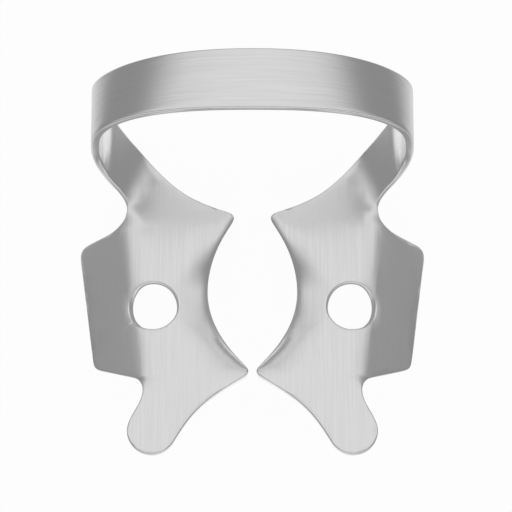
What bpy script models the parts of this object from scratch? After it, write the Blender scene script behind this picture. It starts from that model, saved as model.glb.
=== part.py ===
"""Rubber dam clamp: one piece of spring steel sheet with a bow, two jaws, two wings and two tongues.

The right half is laid out as a sheet without thickness: the jaw is drawn flat, formed and bent at
the wing, and the strap is ruled between its two edges. Mirror, Solidify and Bevel make the body
of it. At the end the clamp is tipped back on its wings, the way it lies on a table.
"""
import math

import bmesh
import bpy
import numpy as np
from mathutils import Matrix

MM = 0.001
GRID = 1.0 * MM              # step of the drawing's grid, in which offsets of the outline are given

# Sheet
SHEET = 0.56 * MM            # thickness
EDGE_ROUND = 0.1 * MM       # rounding of every cut edge

# Bow and strap; heights are above the middle plane of the jaws
BOW_WIDTH = 22.6 * MM        # over the outside, at the widest level
BOW_APEX = 13.6 * MM         # top of the bow
BOW_FULLNESS = (2.05, 2.65)   # back and front edge of the bow: 2 is an ellipse, more is squarer
STRAP_WIDTH = 4.35 * MM
STRAP_FRONT = 9.8 * MM       # front edge of the strap, from the row of the holes
WIDEST_FRONT = 4.7 * MM      # level where the front edge of the strap is widest
WIDEST_BACK = 5.2 * MM       # the same for its back edge
ROOT_BEND = 2.7 * MM         # radius of the bend between jaw and strap
ROOT_SLOPE = math.radians(48)    # slope of the strap above that bend
ROOT_FADE = 1.8 * MM         # length over which that bend runs out beside the notch

# Jaw from above; x is measured from the middle between the jaws, y from the row of the holes
REAR_PRONG = (1.16 * MM, 6.78 * MM)
FRONT_PRONG = (0.1 * MM, -4.9 * MM)
PRONG_ROUND = 0.34 * MM
TONGUE_TIP = (6.99 * MM, -9.05 * MM)     # centre of the round tip
TONGUE_ROUND = 1.76 * MM
HOLE_SPACING = 13.96 * MM    # between the forceps holes
HOLE_DIAMETER = 3.42 * MM

# Wing and its fold
FOLD_SPACING = 15.66 * MM    # between the two folds, in the row of the holes
FOLD_LEAN = math.radians(6.6)    # the folds spread towards the bow
FOLD_RADIUS = 1.9 * MM
FOLD_ANGLE = math.radians(38)
FOLD_FADE = 1.4 * MM         # length over which a fold runs out at its ends
WING_REACH = (4.81 * MM, 4.63 * MM)      # on the sheet, from the fold to the rear and front corner
WING_BACK = (6.08 * MM, 5.58 * MM)       # rear edge: along the fold at the fold, at the outer edge
WING_FRONT = (-5.52 * MM, -3.48 * MM)    # front edge in the same way
WING_CORNER = 0.9 * MM

# Forming of the edge that grips the tooth
LIP_WIDTH = 0.5 * MM
LIP_DROP = (0.2 * MM, 0.08 * MM)         # at the rear prong, at the front prong
DISH_WIDTH = 2.6 * MM
DISH_DEPTH = 0.85 * MM
DISH_MIDDLE = -0.3 * MM      # deepest place of the dish, from the row of the holes
DISH_REACH = 5.6 * MM        # from there to both ends of the dish

# Spans of the mesh
BOW_SPANS = 12
LEG_SPANS = 7
ARM_SPANS = 11
CORNER_SPANS = 3
SIDE_SPANS = (5, 9, 4)       # rows of the jaw behind, beside and in front of the hole
TONGUE_SPANS = 9
TIP_SPANS = 4
MIDDLE_SPANS = 6
WING_SPANS = (2, 3, 2)       # columns of the wing: notch, straight edge, corner
RING_COLUMNS = (8, 3)        # columns left open for the hole, on each side of the fold
RING_WIDTH = 0.2 * MM

FOLD_DIR = np.array([math.sin(FOLD_LEAN), math.cos(FOLD_LEAN)])
FOLD_OUT = np.array([math.cos(FOLD_LEAN), -math.sin(FOLD_LEAN)])
FOLD_FOOT = np.array([FOLD_SPACING / 2, 0.0])
FOLD_HALF = FOLD_RADIUS * FOLD_ANGLE / 2
HOLE = np.array([HOLE_SPACING / 2, -0.04 * GRID])
STRAP_HALF = (BOW_WIDTH - SHEET) / 2
REAR_TIP = np.array(REAR_PRONG)
FRONT_TIP = np.array(FRONT_PRONG)
ROUND_TIP = np.array(TONGUE_TIP)


def beside(anchor, x, y):
    """Point at an offset from an anchor, in steps of the grid."""
    return anchor + np.array([x, y]) * GRID


def on_fold(out, along):
    """Flat point at a distance from the fold and along it."""
    return FOLD_FOOT + out * FOLD_OUT + along * FOLD_DIR


def unit(vector):
    return vector / np.linalg.norm(vector)


def smooth(value):
    """Soft step from 0 to 1."""
    value = min(max(float(value), 0.0), 1.0)
    return value * value * (3 - 2 * value)


def bezier(p0, p1, p2, p3):
    t = np.linspace(0.0, 1.0, 41)[:, None]
    s = 1.0 - t
    return s**3 * p0 + 3 * s**2 * t * p1 + 3 * s * t**2 * p2 + t**3 * p3


def resample(path, fractions):
    """Points of a path at fractions of its length."""
    steps = np.linalg.norm(np.diff(path, axis=0), axis=1)
    length = np.concatenate([[0.0], np.cumsum(steps)])
    wanted = np.asarray(fractions) * length[-1]
    return np.stack([np.interp(wanted, length, path[:, i]) for i in range(path.shape[1])], axis=1)


def even(path, spans):
    """The path divided into equal spans."""
    return resample(np.asarray(path), np.linspace(0.0, 1.0, spans + 1))


def chain(*paths):
    """Paths joined end to end."""
    return np.concatenate([paths[0]] + [path[1:] for path in paths[1:]])


def rounded(corner, before, after, radius):
    """Arc of the given radius in the corner between the directions to two neighbours."""
    a = unit(before - corner)
    b = unit(after - corner)
    half = math.acos(float(a @ b)) / 2
    centre = corner + unit(a + b) * radius / math.sin(half)
    start = corner + a * radius / math.tan(half) - centre
    end = corner + b * radius / math.tan(half) - centre
    sweep = math.pi - 2 * half
    t = np.linspace(0.0, 1.0, 21)[:, None]
    return centre + (np.sin((1 - t) * sweep) * start + np.sin(t * sweep) * end) / math.sin(sweep)


def tip_arc(start, end):
    """Piece of the round tip of the tongue between two angles in degrees."""
    angles = np.radians(np.linspace(start, end, 21))
    return ROUND_TIP + TONGUE_ROUND * np.stack([np.cos(angles), np.sin(angles)], axis=1)


# Places where the outline turns, each next to the feature it belongs to
STRAP_BACK = STRAP_FRONT + math.sqrt(STRAP_WIDTH**2 - (WIDEST_BACK - WIDEST_FRONT) ** 2)
BACK_ROOT = beside(FOLD_FOOT, 0.53, 11.46)       # upper end of the bend, on the flat sheet
FRONT_ROOT = beside(FOLD_FOOT, 2.12, 8.63)
ROOT_OUT = unit(np.array([BACK_ROOT[1] - FRONT_ROOT[1], FRONT_ROOT[0] - BACK_ROOT[0]]))
REAR_NOTCH = beside(FOLD_FOOT, 1.25, 6.4)
FRONT_NOTCH = beside(FOLD_FOOT, -0.03, -5.56)
NOTCH_END = beside(FOLD_FOOT, -0.19, -6.1)
ARC_REAR = beside(REAR_TIP, 2.66, -3.93)
ARC_FRONT = beside(FRONT_TIP, 4.34, 4.46)
TIP_ANGLES = (208, 242, 308, 360)        # inner side, both ends of the last row, outer side
BACK_HANDLES = (0.42, 0.12)              # back edge of the leg: fullness at the top, at the bend
FRONT_HANDLES = (0.66, 0.28)


def grip_edge():
    """Edge from the strap round both prongs to the tip of the tongue, in six pieces."""
    rear = rounded(REAR_TIP, beside(REAR_TIP, 0.95, 0.26), ARC_REAR, PRONG_ROUND)
    front = rounded(FRONT_TIP, ARC_FRONT, beside(FRONT_TIP, 0.83, -0.56), PRONG_ROUND)
    tip = tip_arc(TIP_ANGLES[0], TIP_ANGLES[1])
    arm = bezier(BACK_ROOT, beside(BACK_ROOT, -2.19, -1.56), beside(REAR_TIP, 4.71, 1.26), rear[0])
    arc = bezier(rear[-1], ARC_REAR, ARC_FRONT, front[0])
    side = bezier(front[-1], beside(FRONT_TIP, 3.18, -2.02), beside(ROUND_TIP, -2.99, 1.65), tip[0])
    return arm, rear, arc, front, side, tip


def fold_edge():
    """Column of the mesh where the fold ends and the wing begins, from notch to notch."""
    along = float((HOLE - FOLD_FOOT) @ FOLD_DIR)
    half = HOLE_DIAMETER / 2 + 0.8 * GRID
    stops = [
        REAR_NOTCH,
        on_fold(FOLD_HALF, WING_BACK[0] - 0.75 * GRID),
        on_fold(FOLD_HALF, along + half),
        on_fold(FOLD_HALF, along - half),
        on_fold(FOLD_HALF, WING_FRONT[0] + 0.65 * GRID),
        FRONT_NOTCH,
    ]
    spans = (CORNER_SPANS, *SIDE_SPANS, CORNER_SPANS)
    return chain(*[even([a, b], n) for a, b, n in zip(stops, stops[1:], spans)])


def wing_edges():
    """Rear, outer and front edge of the flat wing."""
    back_in = on_fold(0.4 * WING_REACH[0], np.interp(0.4, [0, 1], WING_BACK))
    front_in = on_fold(0.25 * WING_REACH[1], np.interp(0.25, [0, 1], WING_FRONT))
    back_tip = on_fold(WING_REACH[0], WING_BACK[1])
    front_tip = on_fold(WING_REACH[1], WING_FRONT[1])
    back_round = rounded(back_tip, back_in, front_tip, WING_CORNER)
    front_round = rounded(front_tip, back_tip, front_in, WING_CORNER)
    half = len(back_round) // 2
    notch, straight, corner = WING_SPANS
    into = beside(REAR_NOTCH, 0.27, -0.33)
    curve = bezier(REAR_NOTCH, into, back_in - 0.15 * (back_round[0] - back_in), back_in)
    back = chain(
        even(curve, notch),
        even([back_in, back_round[0]], straight),
        even(back_round[: half + 1], corner),
    )
    into = beside(FRONT_NOTCH, 0.08, 0.12)
    curve = bezier(FRONT_NOTCH, into, front_in - 0.1 * (front_round[-1] - front_in), front_in)
    front = chain(
        even(curve, notch),
        even([front_in, front_round[-1]], straight),
        even(front_round[half:][::-1], corner),
    )
    outer = chain(
        even(back_round[half:], CORNER_SPANS),
        even([back_round[-1], front_round[0]], sum(SIDE_SPANS)),
        even(front_round[: half + 1], CORNER_SPANS),
    )
    return back, outer, front


def columns(length):
    """Distances of the columns from the grip edge, close together at the lip and at the fold."""
    lip = LIP_WIDTH * np.array([0.0, 0.24, 0.56, 1.0])
    fold = length - 2 * FOLD_HALF * np.array([1.0, 2 / 3, 1 / 3, 0.0])
    middle = np.linspace(lip[-1], fold[0], MIDDLE_SPANS + 1)[1:-1]
    return np.concatenate([lip, middle, fold])


def ruling(a, b):
    """Points of one row between the two edges of the strip."""
    a, b = np.asarray(a), np.asarray(b)
    length = np.linalg.norm(b - a)
    return a + np.outer(columns(length) / length, b - a)


def form(flat, arc, lip=0.0):
    """A point of the flat jaw after wing and root are bent and the grip edge is dished."""
    out = float((flat - FOLD_FOOT) @ FOLD_OUT)
    along = float((flat - FOLD_FOOT) @ FOLD_DIR)
    fade = smooth((WING_BACK[0] - along) / FOLD_FADE + 1)
    fade *= smooth((along - WING_FRONT[0]) / FOLD_FADE + 0.6)
    angle = FOLD_ANGLE * fade
    half = FOLD_RADIUS * angle / 2
    away = max(flat[0] - float(np.interp(flat[1], arc[::-1, 1], arc[::-1, 0])), 0.0)
    dish = DISH_DEPTH * smooth(1.35 * (1 - abs(flat[1] - DISH_MIDDLE) / DISH_REACH))
    z = -lip - dish * max(0.0, 1 - away / DISH_WIDTH) ** 1.5
    over = float((flat - FRONT_ROOT) @ ROOT_OUT) + ROOT_BEND * ROOT_SLOPE
    over *= smooth((flat[1] - REAR_NOTCH[1]) / ROOT_FADE)
    if out > -half:
        turn = min((out + half) / FOLD_RADIUS, angle) if angle else 0.0
        rest = max(out - half, 0.0)
        bent = FOLD_RADIUS * math.sin(turn) - half + rest * math.cos(angle)
        flat = flat + (bent - out) * FOLD_OUT
        z -= FOLD_RADIUS * (1 - math.cos(turn)) + rest * math.sin(angle)
    if over > 0:
        turn = over / ROOT_BEND
        flat = flat + (ROOT_BEND * math.sin(turn) - over) * ROOT_OUT
        z += ROOT_BEND * (1 - math.cos(turn))
    return np.array([flat[0], flat[1], z])


class Sheet:
    """Vertices and quads of the sheet without thickness."""

    def __init__(self):
        self.points = []
        self.quads = []
        self.flat = {}
        self.arc = grip_edge()[2]

    def add(self, xyz):
        self.points.append([float(v) for v in xyz])
        return len(self.points) - 1

    def add_flat(self, flat, lip=0.0):
        """A vertex of the jaw, given by its place on the flat sheet."""
        vertex = self.add(form(flat, self.arc, lip))
        self.flat[vertex] = flat
        return vertex

    def join(self, first, second):
        """Quads between two rows of the same length."""
        for a, b, c, d in zip(first, first[1:], second[1:], second):
            self.quads.append((a, b, c, d))


def bow_rows():
    """Rulings from the top of the bow to just above its widest level."""
    top = BOW_APEX - SHEET / 2
    rows = []
    for i in range(BOW_SPANS):
        side = math.sin(math.pi / 2 * i / BOW_SPANS)
        rise = [(1 - side**n) ** (1 / n) for n in BOW_FULLNESS]
        back = WIDEST_BACK + (top - WIDEST_BACK) * rise[0]
        front = WIDEST_FRONT + (top - WIDEST_FRONT) * rise[1]
        width = math.sqrt(STRAP_WIDTH**2 - (back - front) ** 2)
        x = STRAP_HALF * side
        rows.append(ruling((x, STRAP_FRONT + width, back), (x, STRAP_FRONT, front)))
    return rows


def leg(root, widest, handles):
    """One edge of the strap, from its widest level down to the bend at the jaw."""
    foot = form(root, grip_edge()[2])
    up = np.array([*(ROOT_OUT * math.cos(ROOT_SLOPE)), math.sin(ROOT_SLOPE)])
    top = np.array(widest)
    reach = np.linalg.norm(top - foot)
    handle = top - np.array([0.0, 0.0, handles[0] * reach])
    return even(bezier(top, handle, foot + handles[1] * reach * up, foot), LEG_SPANS)


def strap_rows():
    """All rulings of the strap, from the top of the bow to the bend at the jaw."""
    backs = leg(BACK_ROOT, (STRAP_HALF, STRAP_BACK, WIDEST_BACK), BACK_HANDLES)
    fronts = leg(FRONT_ROOT, (STRAP_HALF, STRAP_FRONT, WIDEST_FRONT), FRONT_HANDLES)
    return bow_rows() + [ruling(a, b) for a, b in zip(backs, fronts)]


def jaw_rows(fold):
    """Rows of the flat jaw with how far each is turned down at the lip."""
    arm, rear, arc, front, side, tip = grip_edge()
    steps = np.linalg.norm(np.diff(fold[CORNER_SPANS:-CORNER_SPANS], axis=0), axis=1)
    shares = np.concatenate([[0.0], np.cumsum(steps)]) / steps.sum()
    bend = np.linspace(0.0, 1.0, ARM_SPANS + 1) ** 1.35      # rows closer together in the bend
    inner = chain(
        resample(arm, bend),
        even(rear, CORNER_SPANS),
        resample(arc, shares),
        even(front, CORNER_SPANS),
        even(side, TONGUE_SPANS),
        even(tip, TIP_SPANS),
    )
    notch = bezier(FRONT_ROOT, beside(FRONT_ROOT, -0.92, -0.56), beside(REAR_NOTCH, -0.42, 1.0), REAR_NOTCH)
    corner = beside(FRONT_NOTCH, -0.16, -0.24)
    widest = tip_arc(TIP_ANGLES[3], TIP_ANGLES[2])
    tongue = chain(
        bezier(FRONT_NOTCH, corner, corner, NOTCH_END),
        bezier(NOTCH_END, beside(NOTCH_END, 0.0, -1.05), beside(widest[0], 0.0, 0.9), widest[0]),
    )
    outer = chain(
        even(notch, ARM_SPANS),
        fold,
        even(tongue, TONGUE_SPANS),
        even(widest, TIP_SPANS),
    )
    rear_row = ARM_SPANS + CORNER_SPANS
    front_row = rear_row + sum(SIDE_SPANS)
    stops = [ARM_SPANS, rear_row, front_row, front_row + CORNER_SPANS]
    drops = np.interp(np.arange(len(inner)), stops, [0.0, *LIP_DROP, 0.0])
    rows = [(ruling(a, b), drop) for a, b, drop in zip(inner, outer, drops)]
    last = tip_arc(TIP_ANGLES[1], TIP_ANGLES[2])
    length = np.linalg.norm(np.diff(last, axis=0), axis=1).sum()
    rows[-1] = (resample(last, columns(length) / length), 0.0)
    return rows[1:]


def wing_rows(sheet, fold, seam):
    """Vertices of the wing, filled in between its four edges; the seam is on the fold."""
    back, outer, front = wing_edges()
    rows = []
    for i, vertex in enumerate(seam):
        v = i / (len(seam) - 1)
        row = [vertex]
        for j in range(1, len(back)):
            u = j / (len(back) - 1)
            across = (1 - u) * fold[i] + u * outer[i]
            down = (1 - v) * back[j] + v * front[j]
            near = (1 - u) * fold[0] + u * outer[0]
            far = (1 - u) * fold[-1] + u * outer[-1]
            row.append(sheet.add_flat(across + down - (1 - v) * near - v * far))
        rows.append(row)
    return rows


def ring_angles(rows):
    """Angles of the hole's corners, so that the columns of the fold run straight into it."""
    hole_out = float((HOLE - FOLD_FOOT) @ FOLD_OUT)
    lines = FOLD_HALF * np.array([-1.0, -1 / 3, 1 / 3, 1.0])
    meets = [math.acos(min(0.95, (line - hole_out) * 2 / HOLE_DIAMETER)) for line in lines]
    inside = math.radians(137)
    outside = 0.64 * meets[-1]
    left, right = RING_COLUMNS
    known = [0, left - 3, left - 2, left - 1, left, left + right]
    rear = list(np.interp(range(left + right), known, [inside, *meets, outside]))
    outer = list(np.linspace(outside, -outside, rows + 1)[:-1])
    front = [-a for a in np.interp(range(left + right, 0, -1), known, [inside, *meets, outside])]
    inner = list(np.linspace(-inside, inside - 2 * math.pi, rows + 1)[:-1])
    return rear + outer + front + inner


def close_round_hole(sheet, frame):
    """Quads between the open window in the mesh and the forceps hole."""
    middle, rim = [], []
    for vertex, angle in zip(frame, ring_angles(SIDE_SPANS[1])):
        edge = HOLE + HOLE_DIAMETER / 2 * (math.cos(angle) * FOLD_OUT + math.sin(angle) * FOLD_DIR)
        rim.append(sheet.add_flat(edge))
        middle.append(sheet.add_flat(edge + unit(sheet.flat[vertex] - edge) * RING_WIDTH))
    sheet.join(frame + frame[:1], middle + middle[:1])
    sheet.join(middle + middle[:1], rim + rim[:1])


def build_sheet():
    """The right half of the clamp as a sheet without thickness."""
    sheet = Sheet()
    fold = fold_edge()
    strip = [[sheet.add(p) for p in row] for row in strap_rows()]
    first = len(strip) - 1 + ARM_SPANS       # row of the rear notch
    for row, drop in jaw_rows(fold):
        away = np.linalg.norm(row - row[0], axis=1)
        lips = drop * np.maximum(0.0, 1 - away / LIP_WIDTH) ** 2
        strip.append([sheet.add_flat(flat, lip) for flat, lip in zip(row, lips)])
    last = first + len(fold) - 1             # row of the front notch
    wing = wing_rows(sheet, fold, [row[-1] for row in strip[first : last + 1]])
    wide = [a + b[1:] for a, b in zip(strip[first : last + 1], wing)]

    # the window left open for the hole
    top = CORNER_SPANS + SIDE_SPANS[0]
    bottom = top + SIDE_SPANS[1]
    left = len(strip[0]) - 1 - RING_COLUMNS[0]
    right = len(strip[0]) - 1 + RING_COLUMNS[1]
    for i in range(len(strip) - 1):
        if not first <= i < last:
            sheet.join(strip[i], strip[i + 1])
    for i in range(len(wide) - 1):
        if top <= i < bottom:
            sheet.join(wide[i][: left + 1], wide[i + 1][: left + 1])
            sheet.join(wide[i][right:], wide[i + 1][right:])
        else:
            sheet.join(wide[i], wide[i + 1])
    frame = wide[top][left:right] + [wide[i][right] for i in range(top, bottom)]
    frame += wide[bottom][right:left:-1] + [wide[i][left] for i in range(bottom, top, -1)]
    close_round_hole(sheet, frame)
    return sheet


def steel():
    """Plain stand-in for the brushed stainless steel."""
    material = bpy.data.materials.new("brushed_steel")
    material.use_nodes = True
    shader = material.node_tree.nodes["Principled BSDF"]
    shader.inputs["Base Color"].default_value = (0.62, 0.62, 0.61, 1.0)
    shader.inputs["Metallic"].default_value = 1.0
    shader.inputs["Roughness"].default_value = 0.32
    return material


def make_clamp():
    """Mirrored, thickened and rounded body of the sheet."""
    sheet = build_sheet()
    mesh = bpy.data.meshes.new("clamp")
    mesh.from_pydata(sheet.points, [], sheet.quads)
    mesh.materials.append(steel())
    work = bmesh.new()
    work.from_mesh(mesh)
    bmesh.ops.recalc_face_normals(work, faces=work.faces)
    work.to_mesh(mesh)
    work.free()

    clamp = bpy.data.objects.new("clamp", mesh)
    collection = bpy.data.collections.new("rubber_dam_clamp")
    bpy.context.scene.collection.children.link(collection)
    collection.objects.link(clamp)
    mirror = clamp.modifiers.new("other half", "MIRROR")
    mirror.use_axis = (True, False, False)
    mirror.use_clip = True
    mirror.merge_threshold = 0.00001
    thick = clamp.modifiers.new("sheet", "SOLIDIFY")
    thick.thickness = SHEET
    thick.offset = 0.0
    thick.use_even_offset = True
    cut = clamp.modifiers.new("cut edges", "BEVEL")
    cut.width = EDGE_ROUND
    cut.segments = 2
    cut.limit_method = "ANGLE"
    cut.angle_limit = math.radians(50)
    cut.use_clamp_overlap = False
    return clamp


def measure(clamp):
    """Corners and centre of mass of the finished body."""
    bpy.context.view_layer.update()
    work = bmesh.new()
    work.from_object(clamp, bpy.context.evaluated_depsgraph_get())
    bmesh.ops.triangulate(work, faces=work.faces)
    volume = 0.0
    moment = np.zeros(3)
    for face in work.faces:
        a, b, c = (np.array(loop.vert.co) for loop in face.loops)
        piece = float(a @ np.cross(b, c)) / 6
        volume += piece
        moment += piece * (a + b + c) / 4
    corners = np.array([vertex.co[:] for vertex in work.verts])
    work.free()
    return corners, moment / volume


def resting_angle(corners, centre):
    """Rocks the body back over its lowest corners until it stands under its centre of mass."""
    points = corners[:, 1:]
    pivot = points[np.argmin(points[:, 1])]
    while True:
        ahead = points[points[:, 0] > pivot[0] + 0.01 * MM] - pivot
        angles = np.arctan2(ahead[:, 1], ahead[:, 0])
        nearest = np.argmin(angles)
        reach = (centre[1:] - pivot) @ unit(ahead[nearest])
        if reach < np.linalg.norm(ahead[nearest]):
            return float(angles[nearest])
        pivot = pivot + ahead[nearest]


def lay_down(clamp):
    """Puts the clamp on the table with the origin below the middle of its box."""
    corners, centre = measure(clamp)
    angle = resting_angle(corners, centre)
    turn = Matrix.Rotation(-angle, 4, "X")
    turned = corners @ np.array(turn.to_3x3()).T
    low, high = turned.min(axis=0), turned.max(axis=0)
    shift = Matrix.Translation((0.0, -(low[1] + high[1]) / 2, -low[2]))
    clamp.data.transform(shift @ turn)
    print("tipped back by %.2f degrees, moved %s" % (math.degrees(angle), tuple(shift.translation)))


for item in list(bpy.data.objects):
    bpy.data.objects.remove(item, do_unlink=True)
lay_down(make_clamp())
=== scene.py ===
"""Rubber dam clamp of brushed stainless spring steel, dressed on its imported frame."""
import math

import bmesh
import bpy
from mathutils import Matrix, Vector
from mathutils.bvhtree import BVHTree


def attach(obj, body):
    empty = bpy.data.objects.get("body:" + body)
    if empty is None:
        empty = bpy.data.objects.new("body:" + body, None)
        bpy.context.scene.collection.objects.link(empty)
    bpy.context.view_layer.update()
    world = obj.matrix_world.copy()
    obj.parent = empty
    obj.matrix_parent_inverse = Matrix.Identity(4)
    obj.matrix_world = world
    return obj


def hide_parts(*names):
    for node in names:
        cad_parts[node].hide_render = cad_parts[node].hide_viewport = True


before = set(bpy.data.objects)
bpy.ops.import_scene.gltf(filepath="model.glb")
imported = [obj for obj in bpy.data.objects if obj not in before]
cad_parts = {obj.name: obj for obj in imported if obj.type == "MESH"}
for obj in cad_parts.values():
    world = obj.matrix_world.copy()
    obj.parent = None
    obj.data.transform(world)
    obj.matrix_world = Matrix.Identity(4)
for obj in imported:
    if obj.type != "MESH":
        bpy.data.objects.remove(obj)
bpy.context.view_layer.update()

bl_info = {
    "name": "Rubber dam clamp",
    "version": (1, 0, 0),
    "blender": (4, 5, 0),
    "location": "View3D > Sidebar > Dam clamp",
    "description": "Dresses the packed clamp in brushed stainless steel and sets up its stage",
    "category": "Object",
}

MM = 0.001

# The clamp lies tipped back on its wings. Its drawing has the jaws level, with the origin on the
# middle plane of the jaws in the row of the forceps holes.
TIPPED = (Matrix.Translation((0.0, -4.549 * MM, 4.941 * MM))
          @ Matrix.Rotation(math.radians(-27.38), 4, "X"))

# sizes of the sheet in its drawing
SHEET = 0.56 * MM                            # thickness
WIDEST = 11.02 * MM                          # half the width of the bow, to the middle of the sheet
WIDEST_LEVEL = 4.7 * MM                      # where the bow is widest, above the jaws
BOW_RISE = 8.6 * MM                          # from the widest level to the top
BOW_RADIUS = 10 * MM                         # of a round bow about as long
STRAP_FRONT = 9.8 * MM
FRONT_ROOT = Vector((9.73 * MM, 8.5 * MM))   # front corner of the strap on the jaw
ACROSS_LEG = Vector((-0.490, 0.872))         # from there across the strap

# the brushing turns from the jaw into the leg, and from the leg into the bow
JAW_END = 32 * MM                            # length along the jaw counts from here
LEG_START = 6 * MM                           # the legs rise behind this line
LEG_LEVEL, LEG_TURN = 0.25 * MM, 1.0 * MM    # the level where a turn starts, and its height
BOW_LEVEL, BOW_TURN = 2.5 * MM, 3.5 * MM

# the mesh
MERGE = 0.001 * MM                           # corners nearer than this become one
QUAD_BEND = math.radians(60)                 # most that a quad is folded
QUAD_SKEW = math.radians(120)                # most that its corners differ
SKIN = 0.01 * MM                             # depth at which the look through the sheet starts
EDGE_REACH = 1.25 * SHEET                    # a cut edge has more steel than this behind it
KEPT_RINGS = 2                               # rings of faces beside the cut edges, left alone
EASE_LEVEL = 2.5 * MM                        # above this level nothing is evened out

# the steel
BAND_SCALE = 0.4                             # the belt's bands are 2.5 times as wide as a streak
STREAK_TONE = 0.025                          # how much a streak is lighter or darker
STREAK_ROUGHNESS = 0.03                      # how much it is smoother or rougher
STREAK_HEIGHT = 0.02 * MM
WAVE_WIDTH = 3 * MM                          # soft waves that forming leaves in the sheet
WAVE_HEIGHT = 0.25 * MM

# The steel mirrors a room dimmer than the white that the camera sees. A level of 1 is white.
ROOM_LEVEL = 0.305                           # the sides
WALL_LEVEL = 0.8                             # the wall behind, and the far side in front
TOP_SHARE = 0.6                              # how far the ceiling comes up to the wall
FLOOR_WIDTH = 3.0
FAR_PAPER = 0.285                            # outside the painted pool of light
SHADED_PAPER = 0.35                          # painted shadow under the jaws
PAPER_GLOW = 0.96                            # share that shows these levels; the rest takes shadows

# the photograph's frame
LENS = 219.7
SHIFT = 0.007
PITCH = math.radians(0.917)


class ClampSteel(bpy.types.PropertyGroup):
    """Finish of the steel."""

    colour: bpy.props.StringProperty(
        name="Steel", description="Colour of the brushed faces, as sRGB hex", default="#eaeaea",
    )
    # colour of the cut edges, lighter than the faces as a painted highlight on the rims
    edge_colour_and_highlight: bpy.props.StringProperty(
        name="Cut edges", description="Colour of the polished cut edges, as sRGB hex",
        default="#f0f0f0",
    )
    roughness: bpy.props.FloatProperty(
        name="Roughness", description="Roughness of the brushed faces",
        default=0.24, min=0.05, max=0.8,
    )
    edge_roughness: bpy.props.FloatProperty(
        name="Edge roughness", description="Roughness of the cut edges",
        default=0.2, min=0.05, max=0.8,
    )
    streak_width: bpy.props.FloatProperty(
        name="Streak width", description="Width of one brushed streak",
        default=0.06 * MM, precision=5, unit="LENGTH",
    )
    streak_length: bpy.props.FloatProperty(
        name="Streak length", description="Length of one brushed streak",
        default=2.5 * MM, precision=4, unit="LENGTH",
    )


class ClampStage(bpy.types.PropertyGroup):
    """Camera, floor and light."""

    floor_colour: bpy.props.StringProperty(
        name="Floor", description="Colour of the floor, as sRGB hex", default="#ffffff",
    )
    pool: bpy.props.FloatProperty(
        name="Lit floor", description="Half width of the pool of light on the floor",
        default=23.2 * MM, unit="LENGTH",
    )
    distance: bpy.props.FloatProperty(
        name="Camera distance", description="From the camera to the row of the holes",
        default=220 * MM, unit="LENGTH",
    )
    elevation: bpy.props.FloatProperty(
        name="Camera elevation", description="Angle between the view and the jaws",
        default=math.radians(73), unit="ROTATION",
    )


def linear(colour):
    """Linear RGBA of an sRGB hex value."""
    parts = [int(colour[i : i + 2], 16) / 255 for i in (1, 3, 5)]
    return [c / 12.92 if c <= 0.04045 else ((c + 0.055) / 1.055) ** 2.4 for c in parts] + [1.0]


def add(tree, kind, settings=(), **links):
    """Adds a node, with its settings and with values or sockets for its inputs."""
    node = tree.nodes.new(kind)
    for name, value in dict(settings).items():
        setattr(node, name, value)
    for name, value in links.items():
        place = int(name[1:]) if name[1:].isdigit() else name.replace("_", " ")
        socket = node.inputs[place]
        if isinstance(value, bpy.types.NodeSocket):
            tree.links.new(value, socket)
        else:
            socket.default_value = value
    return node


def deselect():
    """Leaves edit mode and selects nothing."""
    if bpy.context.object and bpy.context.object.mode != "OBJECT":
        bpy.ops.object.mode_set(mode="OBJECT")
    bpy.ops.object.select_all(action="DESELECT")


def take(piece):
    """Makes the piece the only selected and active object."""
    deselect()
    piece.select_set(True)
    bpy.context.view_layer.objects.active = piece


def smooth(value):
    """Soft step from 0 to 1."""
    value = min(max(value, 0.0), 1.0)
    return value * value * (3 - 2 * value)


def along_sheet(point):
    """Place on the sheet in millimetres: across the brushing, and along it."""
    side = -1.0 if point.x < 0 else 1.0
    x, y, z = abs(point.x), point.y, point.z
    # on the jaw the brushing runs from back to front
    jaw_across, jaw_along = FRONT_ROOT.x - x, JAW_END - y
    # on the leg and the bow it follows the strap, from the top of the bow down
    turn = math.atan2(x / WIDEST, max(z - WIDEST_LEVEL, 0.0) / BOW_RISE)
    strap_along = turn * BOW_RADIUS + max(WIDEST_LEVEL - z, 0.0)
    leg_across = ACROSS_LEG.dot(Vector((x, y)) - FRONT_ROOT)
    bow_across = y - STRAP_FRONT
    in_bow = smooth((z - BOW_LEVEL) / BOW_TURN)
    strap_across = leg_across + in_bow * (bow_across - leg_across)
    in_strap = smooth((z - LEG_LEVEL) / LEG_TURN) if y > LEG_START else 0.0
    across = jaw_across + in_strap * (strap_across - jaw_across)
    along = jaw_along + in_strap * (strap_along - jaw_along)
    return across / MM, side * along / MM


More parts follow.
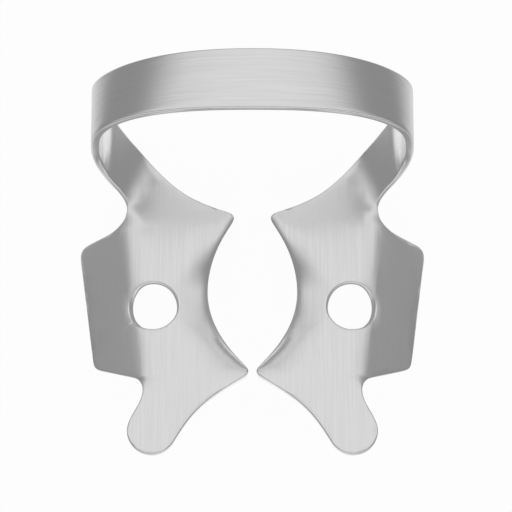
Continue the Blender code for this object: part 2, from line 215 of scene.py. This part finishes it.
def brushed_stainless_steel():
    """Brushed stainless spring steel: rolled sheet, formed, satin brushed and then deburred.

    The brushing gives fine streaks that follow the strap round the bow and run straight along the
    jaws. It spreads highlights across the streaks. The stamped faces are never quite flat, so wide
    soft waves show in the gloss. The tumbled cut edges are smoother, and their colour is a little
    lighter as a painted highlight on the rims.
    """
    steel = bpy.context.scene.clamp_steel
    material = bpy.data.materials.new("brushed stainless steel")
    material.use_nodes = True
    tree = material.node_tree
    shader = tree.nodes["Principled BSDF"]
    sheet = add(tree, "ShaderNodeUVMap", {"uv_map": "sheet"}).outputs[0]
    edge = add(tree, "ShaderNodeAttribute", {"attribute_name": "cut_edge"}).outputs["Fac"]

    # Streaks, on a UV map in millimetres. Real ones are some 0.02 mm wide, which is too fine for
    # the render, so they are drawn as wide as they need to show.
    width = steel.streak_width / MM
    length = steel.streak_length / MM
    fine_place = add(tree, "ShaderNodeMapping", Vector=sheet, Scale=(1 / width, 1 / length, 1))
    fine = add(tree, "ShaderNodeTexNoise", {"noise_dimensions": "2D"},
               Vector=fine_place.outputs[0], Scale=1.0, Detail=3.0, Roughness=0.65).outputs[0]
    # bands of streaks that the belt leaves
    band_place = add(tree, "ShaderNodeMapping", Vector=sheet, Location=(7, 3, 0),
                     Scale=(BAND_SCALE / width, BAND_SCALE / length, 1))
    band = add(tree, "ShaderNodeTexNoise", {"noise_dimensions": "2D"},
               Vector=band_place.outputs[0], Scale=1.0, Detail=2.0).outputs[0]
    streaks = add(tree, "ShaderNodeMath", {"operation": "ADD"}, _0=fine, _1=band).outputs[0]
    brushed = add(tree, "ShaderNodeMapRange", Value=streaks,
                  From_Min=0.7, From_Max=1.3, To_Min=-1.0, To_Max=1.0).outputs[0]
    bare = add(tree, "ShaderNodeMath", {"operation": "SUBTRACT"}, _0=1.0, _1=edge).outputs[0]
    mark = add(tree, "ShaderNodeMath", {"operation": "MULTIPLY"}, _0=brushed, _1=bare).outputs[0]

    # colour: each streak a little lighter or darker
    tone = add(tree, "ShaderNodeMapRange", Value=mark, From_Min=-1.0, From_Max=1.0,
               To_Min=1 - STREAK_TONE, To_Max=1 + STREAK_TONE).outputs[0]
    # the cut edges take the lighter colour, a painted highlight on the rims
    base = add(tree, "ShaderNodeMix", {"data_type": "RGBA"}, _0=edge,
               _6=linear(steel.colour), _7=linear(steel.edge_colour_and_highlight)).outputs[2]
    colour = add(tree, "ShaderNodeVectorMath", {"operation": "SCALE"}, _0=base, Scale=tone)
    tree.links.new(colour.outputs[0], shader.inputs["Base Color"])

    # roughness: streaks vary it, cut edges are smoother
    face_rough = add(tree, "ShaderNodeMapRange", Value=mark, From_Min=-1.0, From_Max=1.0,
                     To_Min=steel.roughness + STREAK_ROUGHNESS,
                     To_Max=steel.roughness - STREAK_ROUGHNESS).outputs[0]
    rough = add(tree, "ShaderNodeMix", {"data_type": "FLOAT"}, _0=edge,
                _2=face_rough, _3=steel.edge_roughness).outputs[0]
    tree.links.new(rough, shader.inputs["Roughness"])

    # relief: the streaks, and the waves of the formed sheet
    body = add(tree, "ShaderNodeTexCoord").outputs["Object"]
    waves = add(tree, "ShaderNodeTexNoise", Vector=body, Scale=1 / WAVE_WIDTH, Detail=1.0)
    wavy = add(tree, "ShaderNodeBump", Strength=0.06, Distance=WAVE_HEIGHT,
               Height=waves.outputs[0]).outputs[0]
    relief = add(tree, "ShaderNodeBump", Strength=0.03, Distance=STREAK_HEIGHT,
                 Height=mark, Normal=wavy)
    tree.links.new(relief.outputs[0], shader.inputs["Normal"])

    shader.inputs["Metallic"].default_value = 1.0
    shader.inputs["Anisotropic"].default_value = 0.35
    tangent = add(tree, "ShaderNodeTangent", {"direction_type": "UV_MAP", "uv_map": "sheet"})
    tree.links.new(tangent.outputs[0], shader.inputs["Tangent"])
    return material


class CLAMP_OT_body(bpy.types.Operator):
    """Dresses the one-piece clamp: brushed faces, smoother cut edges with a painted highlight"""

    bl_idname = "clamp.body"
    bl_label = "Clamp body"

    def execute(self, context):
        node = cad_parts["clamp"]
        body = bpy.data.objects.new("clamp_body", node.data.copy())
        context.scene.collection.objects.link(body)
        take(body)
        bpy.ops.object.mode_set(mode="EDIT")
        bpy.ops.mesh.select_all(action="SELECT")
        bpy.ops.mesh.remove_doubles(threshold=MERGE)
        bpy.ops.mesh.tris_convert_to_quads(face_threshold=QUAD_BEND, shape_threshold=QUAD_SKEW)
        bpy.ops.object.mode_set(mode="OBJECT")
        bpy.ops.mesh.customdata_custom_splitnormals_clear()
        self.mark_cut_edges(body)
        self.ease_sheet(body)
        rounder = body.modifiers.new("even curves", "SUBSURF")
        rounder.levels = rounder.render_levels = 1
        bpy.ops.object.modifier_apply(modifier=rounder.name)
        bpy.ops.object.shade_smooth(keep_sharp_edges=False)
        self.unroll(body)

        body.data.materials.clear()
        body.data.materials.append(brushed_stainless_steel())
        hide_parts("clamp")
        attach(body, "root")
        return {"FINISHED"}

    def mark_cut_edges(self, body):
        """Marks the faces of the stamped outline, which have more than the sheet behind them."""
        work = bmesh.new()
        work.from_mesh(body.data)
        tree = BVHTree.FromBMesh(work)
        cut = work.faces.layers.float.new("cut_edge")
        for face in work.faces:
            start = face.calc_center_median() - face.normal * SKIN
            hit = tree.ray_cast(start, -face.normal, EDGE_REACH)
            face[cut] = 0.0 if hit[0] is not None else 1.0
        work.to_mesh(body.data)
        work.free()

    def ease_sheet(self, body):
        """Evens out the bends of the jaws, away from the cut edges, and leaves the bow as it is."""
        faces = body.data.polygons
        cut = body.data.attributes["cut_edge"].data
        kept = {corner for face in faces if cut[face.index].value for corner in face.vertices}
        for ring in range(KEPT_RINGS):
            beside = [face.vertices for face in faces if not kept.isdisjoint(face.vertices)]
            kept.update(corner for corners in beside for corner in corners)
        inner = body.vertex_groups.new(name="inner sheet")
        flat = TIPPED.inverted()
        for vertex in body.data.vertices:
            if vertex.index not in kept:
                weight = 1 - smooth((flat @ vertex.co).z / EASE_LEVEL)
                inner.add([vertex.index], weight, "REPLACE")
        easer = body.modifiers.new("even bends", "SMOOTH")
        easer.vertex_group = inner.name
        easer.factor = 0.5
        easer.iterations = 12
        bpy.ops.object.modifier_apply(modifier=easer.name)
        bpy.ops.object.vertex_group_remove(all=True)

    def unroll(self, body):
        """Gives the sheet a UV map in millimetres that follows the brushing."""
        flat = TIPPED.inverted()
        layer = body.data.uv_layers.new(name="sheet")
        places = [along_sheet(flat @ vertex.co) for vertex in body.data.vertices]
        for loop in body.data.loops:
            layer.data[loop.index].uv = places[loop.vertex_index]


class CLAMP_OT_stage(bpy.types.Operator):
    """Sets up the pale floor, the soft light and the camera"""

    bl_idname = "clamp.stage"
    bl_label = "Stage"

    def execute(self, context):
        stage = context.scene.clamp_stage
        self.floor(stage)
        self.light()
        self.camera(stage)
        context.scene.view_settings.view_transform = "Standard"
        return {"FINISHED"}

    def floor(self, stage):
        """White paper with a painted pool of light round the clamp and a painted shadow under its
        jaws, both seen where the steel mirrors it.
        """
        deselect()
        bpy.ops.mesh.primitive_plane_add(size=FLOOR_WIDTH)
        floor = bpy.context.object
        floor.name = "floor"
        material = bpy.data.materials.new("matt white paper")
        material.use_nodes = True
        tree = material.node_tree
        tree.nodes.clear()
        colour = linear(stage.floor_colour)
        soft = {"interpolation_type": "SMOOTHSTEP"}
        greater = {"operation": "MAXIMUM"}
        times = {"operation": "MULTIPLY"}
        length = {"operation": "LENGTH"}

        # a painted pool of light lies on the paper, long, whose middle is 10 mm behind the clamp's
        stretch = 0.3
        place = add(tree, "ShaderNodeTexCoord").outputs["Object"]
        pool = add(tree, "ShaderNodeMapping", Vector=place,
                   Location=(0, -stretch * 10 * MM, 0), Scale=(1, stretch, 1)).outputs[0]
        away = add(tree, "ShaderNodeVectorMath", length, _0=pool).outputs["Value"]
        lit = add(tree, "ShaderNodeMapRange", soft, Value=away, From_Min=0.3 * stage.pool,
                  From_Max=stage.pool, To_Min=1.0, To_Max=FAR_PAPER).outputs[0]
        # a painted shadow of the jaws on the paper under them, as an ellipse in the paper's glow
        under = add(tree, "ShaderNodeMapping", Vector=place,
                    Location=(0, 3 * MM, 0), Scale=(0.6, 1, 1)).outputs[0]
        outwards = add(tree, "ShaderNodeVectorMath", length, _0=under).outputs["Value"]
        shade = add(tree, "ShaderNodeMapRange", soft, Value=outwards, From_Min=7.4 * MM,
                    From_Max=9.2 * MM, To_Min=SHADED_PAPER, To_Max=1.0).outputs[0]
        lit = add(tree, "ShaderNodeMath", times, _0=lit, _1=shade).outputs[0]
        # the camera sees white
        ray = add(tree, "ShaderNodeLightPath").outputs
        lit = add(tree, "ShaderNodeMath", greater, _0=lit, _1=ray["Is Camera Ray"]).outputs[0]

        paper = add(tree, "ShaderNodeBsdfDiffuse", Color=colour)
        glow = add(tree, "ShaderNodeEmission", Color=colour, Strength=lit)
        seen = add(tree, "ShaderNodeMath", greater,
                   _0=ray["Is Camera Ray"], _1=ray["Is Glossy Ray"]).outputs[0]
        seen = add(tree, "ShaderNodeMath", greater,
                   _0=seen, _1=ray["Is Transmission Ray"]).outputs[0]
        share = add(tree, "ShaderNodeMath", times, _0=seen, _1=PAPER_GLOW).outputs[0]
        both = add(tree, "ShaderNodeMixShader", Fac=share, _1=paper.outputs[0], _2=glow.outputs[0])
        add(tree, "ShaderNodeOutputMaterial", Surface=both.outputs[0])
        floor.data.materials.append(material)

    def light(self):
        """A bright wall behind the bow and a ceiling, light far in front, and dimmer sides."""
        world = bpy.data.worlds.new("studio")
        bpy.context.scene.world = world
        world.use_nodes = True
        tree = world.node_tree
        tree.nodes.clear()
        soft = {"interpolation_type": "SMOOTHSTEP"}
        greater = {"operation": "MAXIMUM"}

        place = add(tree, "ShaderNodeTexCoord").outputs["Generated"]
        towards = add(tree, "ShaderNodeSeparateXYZ", Vector=place).outputs
        behind = add(tree, "ShaderNodeMapRange", soft, Value=towards[1],
                     From_Min=0.05, From_Max=0.6).outputs[0]
        above = add(tree, "ShaderNodeMapRange", soft, Value=towards[2],
                    From_Min=0.03, From_Max=0.47).outputs[0]
        wall = add(tree, "ShaderNodeMath", {"operation": "MULTIPLY"}, _0=behind, _1=above)
        top = add(tree, "ShaderNodeMapRange", soft, Value=towards[2],
                  From_Min=0.75, From_Max=1.0, To_Max=TOP_SHARE).outputs[0]
        front = add(tree, "ShaderNodeMapRange", soft, Value=towards[1],
                    From_Min=-0.3, From_Max=-0.7, To_Max=1.0).outputs[0]
        bright = add(tree, "ShaderNodeMath", greater, _0=wall.outputs[0], _1=top).outputs[0]
        bright = add(tree, "ShaderNodeMath", greater, _0=bright, _1=front).outputs[0]
        level = add(tree, "ShaderNodeMapRange", Value=bright,
                    To_Min=ROOM_LEVEL, To_Max=WALL_LEVEL).outputs[0]
        # the camera sees white
        ray = add(tree, "ShaderNodeLightPath").outputs
        level = add(tree, "ShaderNodeMath", greater, _0=level, _1=ray["Is Camera Ray"]).outputs[0]
        back = add(tree, "ShaderNodeBackground", Color=linear("#ffffff"), Strength=level)
        add(tree, "ShaderNodeOutputWorld", Surface=back.outputs[0])

        # a weak softbox behind and above, turned to the clamp
        bpy.ops.object.light_add(type="AREA", location=(0, 0.35, 0.5))
        softbox = bpy.context.object
        softbox.name = "softbox"
        softbox.rotation_euler = (math.radians(-35), 0, 0)
        softbox.data.shape = "SQUARE"
        softbox.data.size = 0.4
        softbox.data.energy = 0.02

    def camera(self, stage):
        """Looks down on the jaws, from the side of the tongues in the drawing's frame."""
        bpy.ops.object.camera_add()
        camera = bpy.context.object
        camera.name = "camera"
        camera.data.lens = LENS
        camera.data.shift_x = SHIFT
        camera.data.clip_start = 0.01
        tilt = math.radians(90) - stage.elevation
        place = Matrix.Rotation(tilt, 4, "X") @ Matrix.Translation((0, 0, stage.distance))
        camera.matrix_world = TIPPED @ place @ Matrix.Rotation(PITCH, 4, "X")
        bpy.context.scene.camera = camera


class CLAMP_PT_panel(bpy.types.Panel):
    """Lists the pieces and the stage."""

    bl_idname = "CLAMP_PT_panel"
    bl_label = "Dam clamp"
    bl_space_type = "VIEW_3D"
    bl_region_type = "UI"
    bl_category = "Dam clamp"

    def draw(self, context):
        for operator in OPERATORS:
            self.layout.operator(operator.bl_idname)
        for group in (context.scene.clamp_steel, context.scene.clamp_stage):
            for name in group.bl_rna.properties.keys():
                if name not in ("rna_type", "name"):
                    self.layout.prop(group, name)


OPERATORS = (CLAMP_OT_body, CLAMP_OT_stage)
CLASSES = (ClampSteel, ClampStage, *OPERATORS, CLAMP_PT_panel)


def register():
    for item in CLASSES:
        bpy.utils.register_class(item)
    bpy.types.Scene.clamp_steel = bpy.props.PointerProperty(type=ClampSteel)
    bpy.types.Scene.clamp_stage = bpy.props.PointerProperty(type=ClampStage)


def unregister():
    del bpy.types.Scene.clamp_stage
    del bpy.types.Scene.clamp_steel
    for item in reversed(CLASSES):
        bpy.utils.unregister_class(item)


def main():
    register()
    bpy.ops.clamp.body()
    bpy.ops.clamp.stage()


if __name__ == "__main__":
    main()
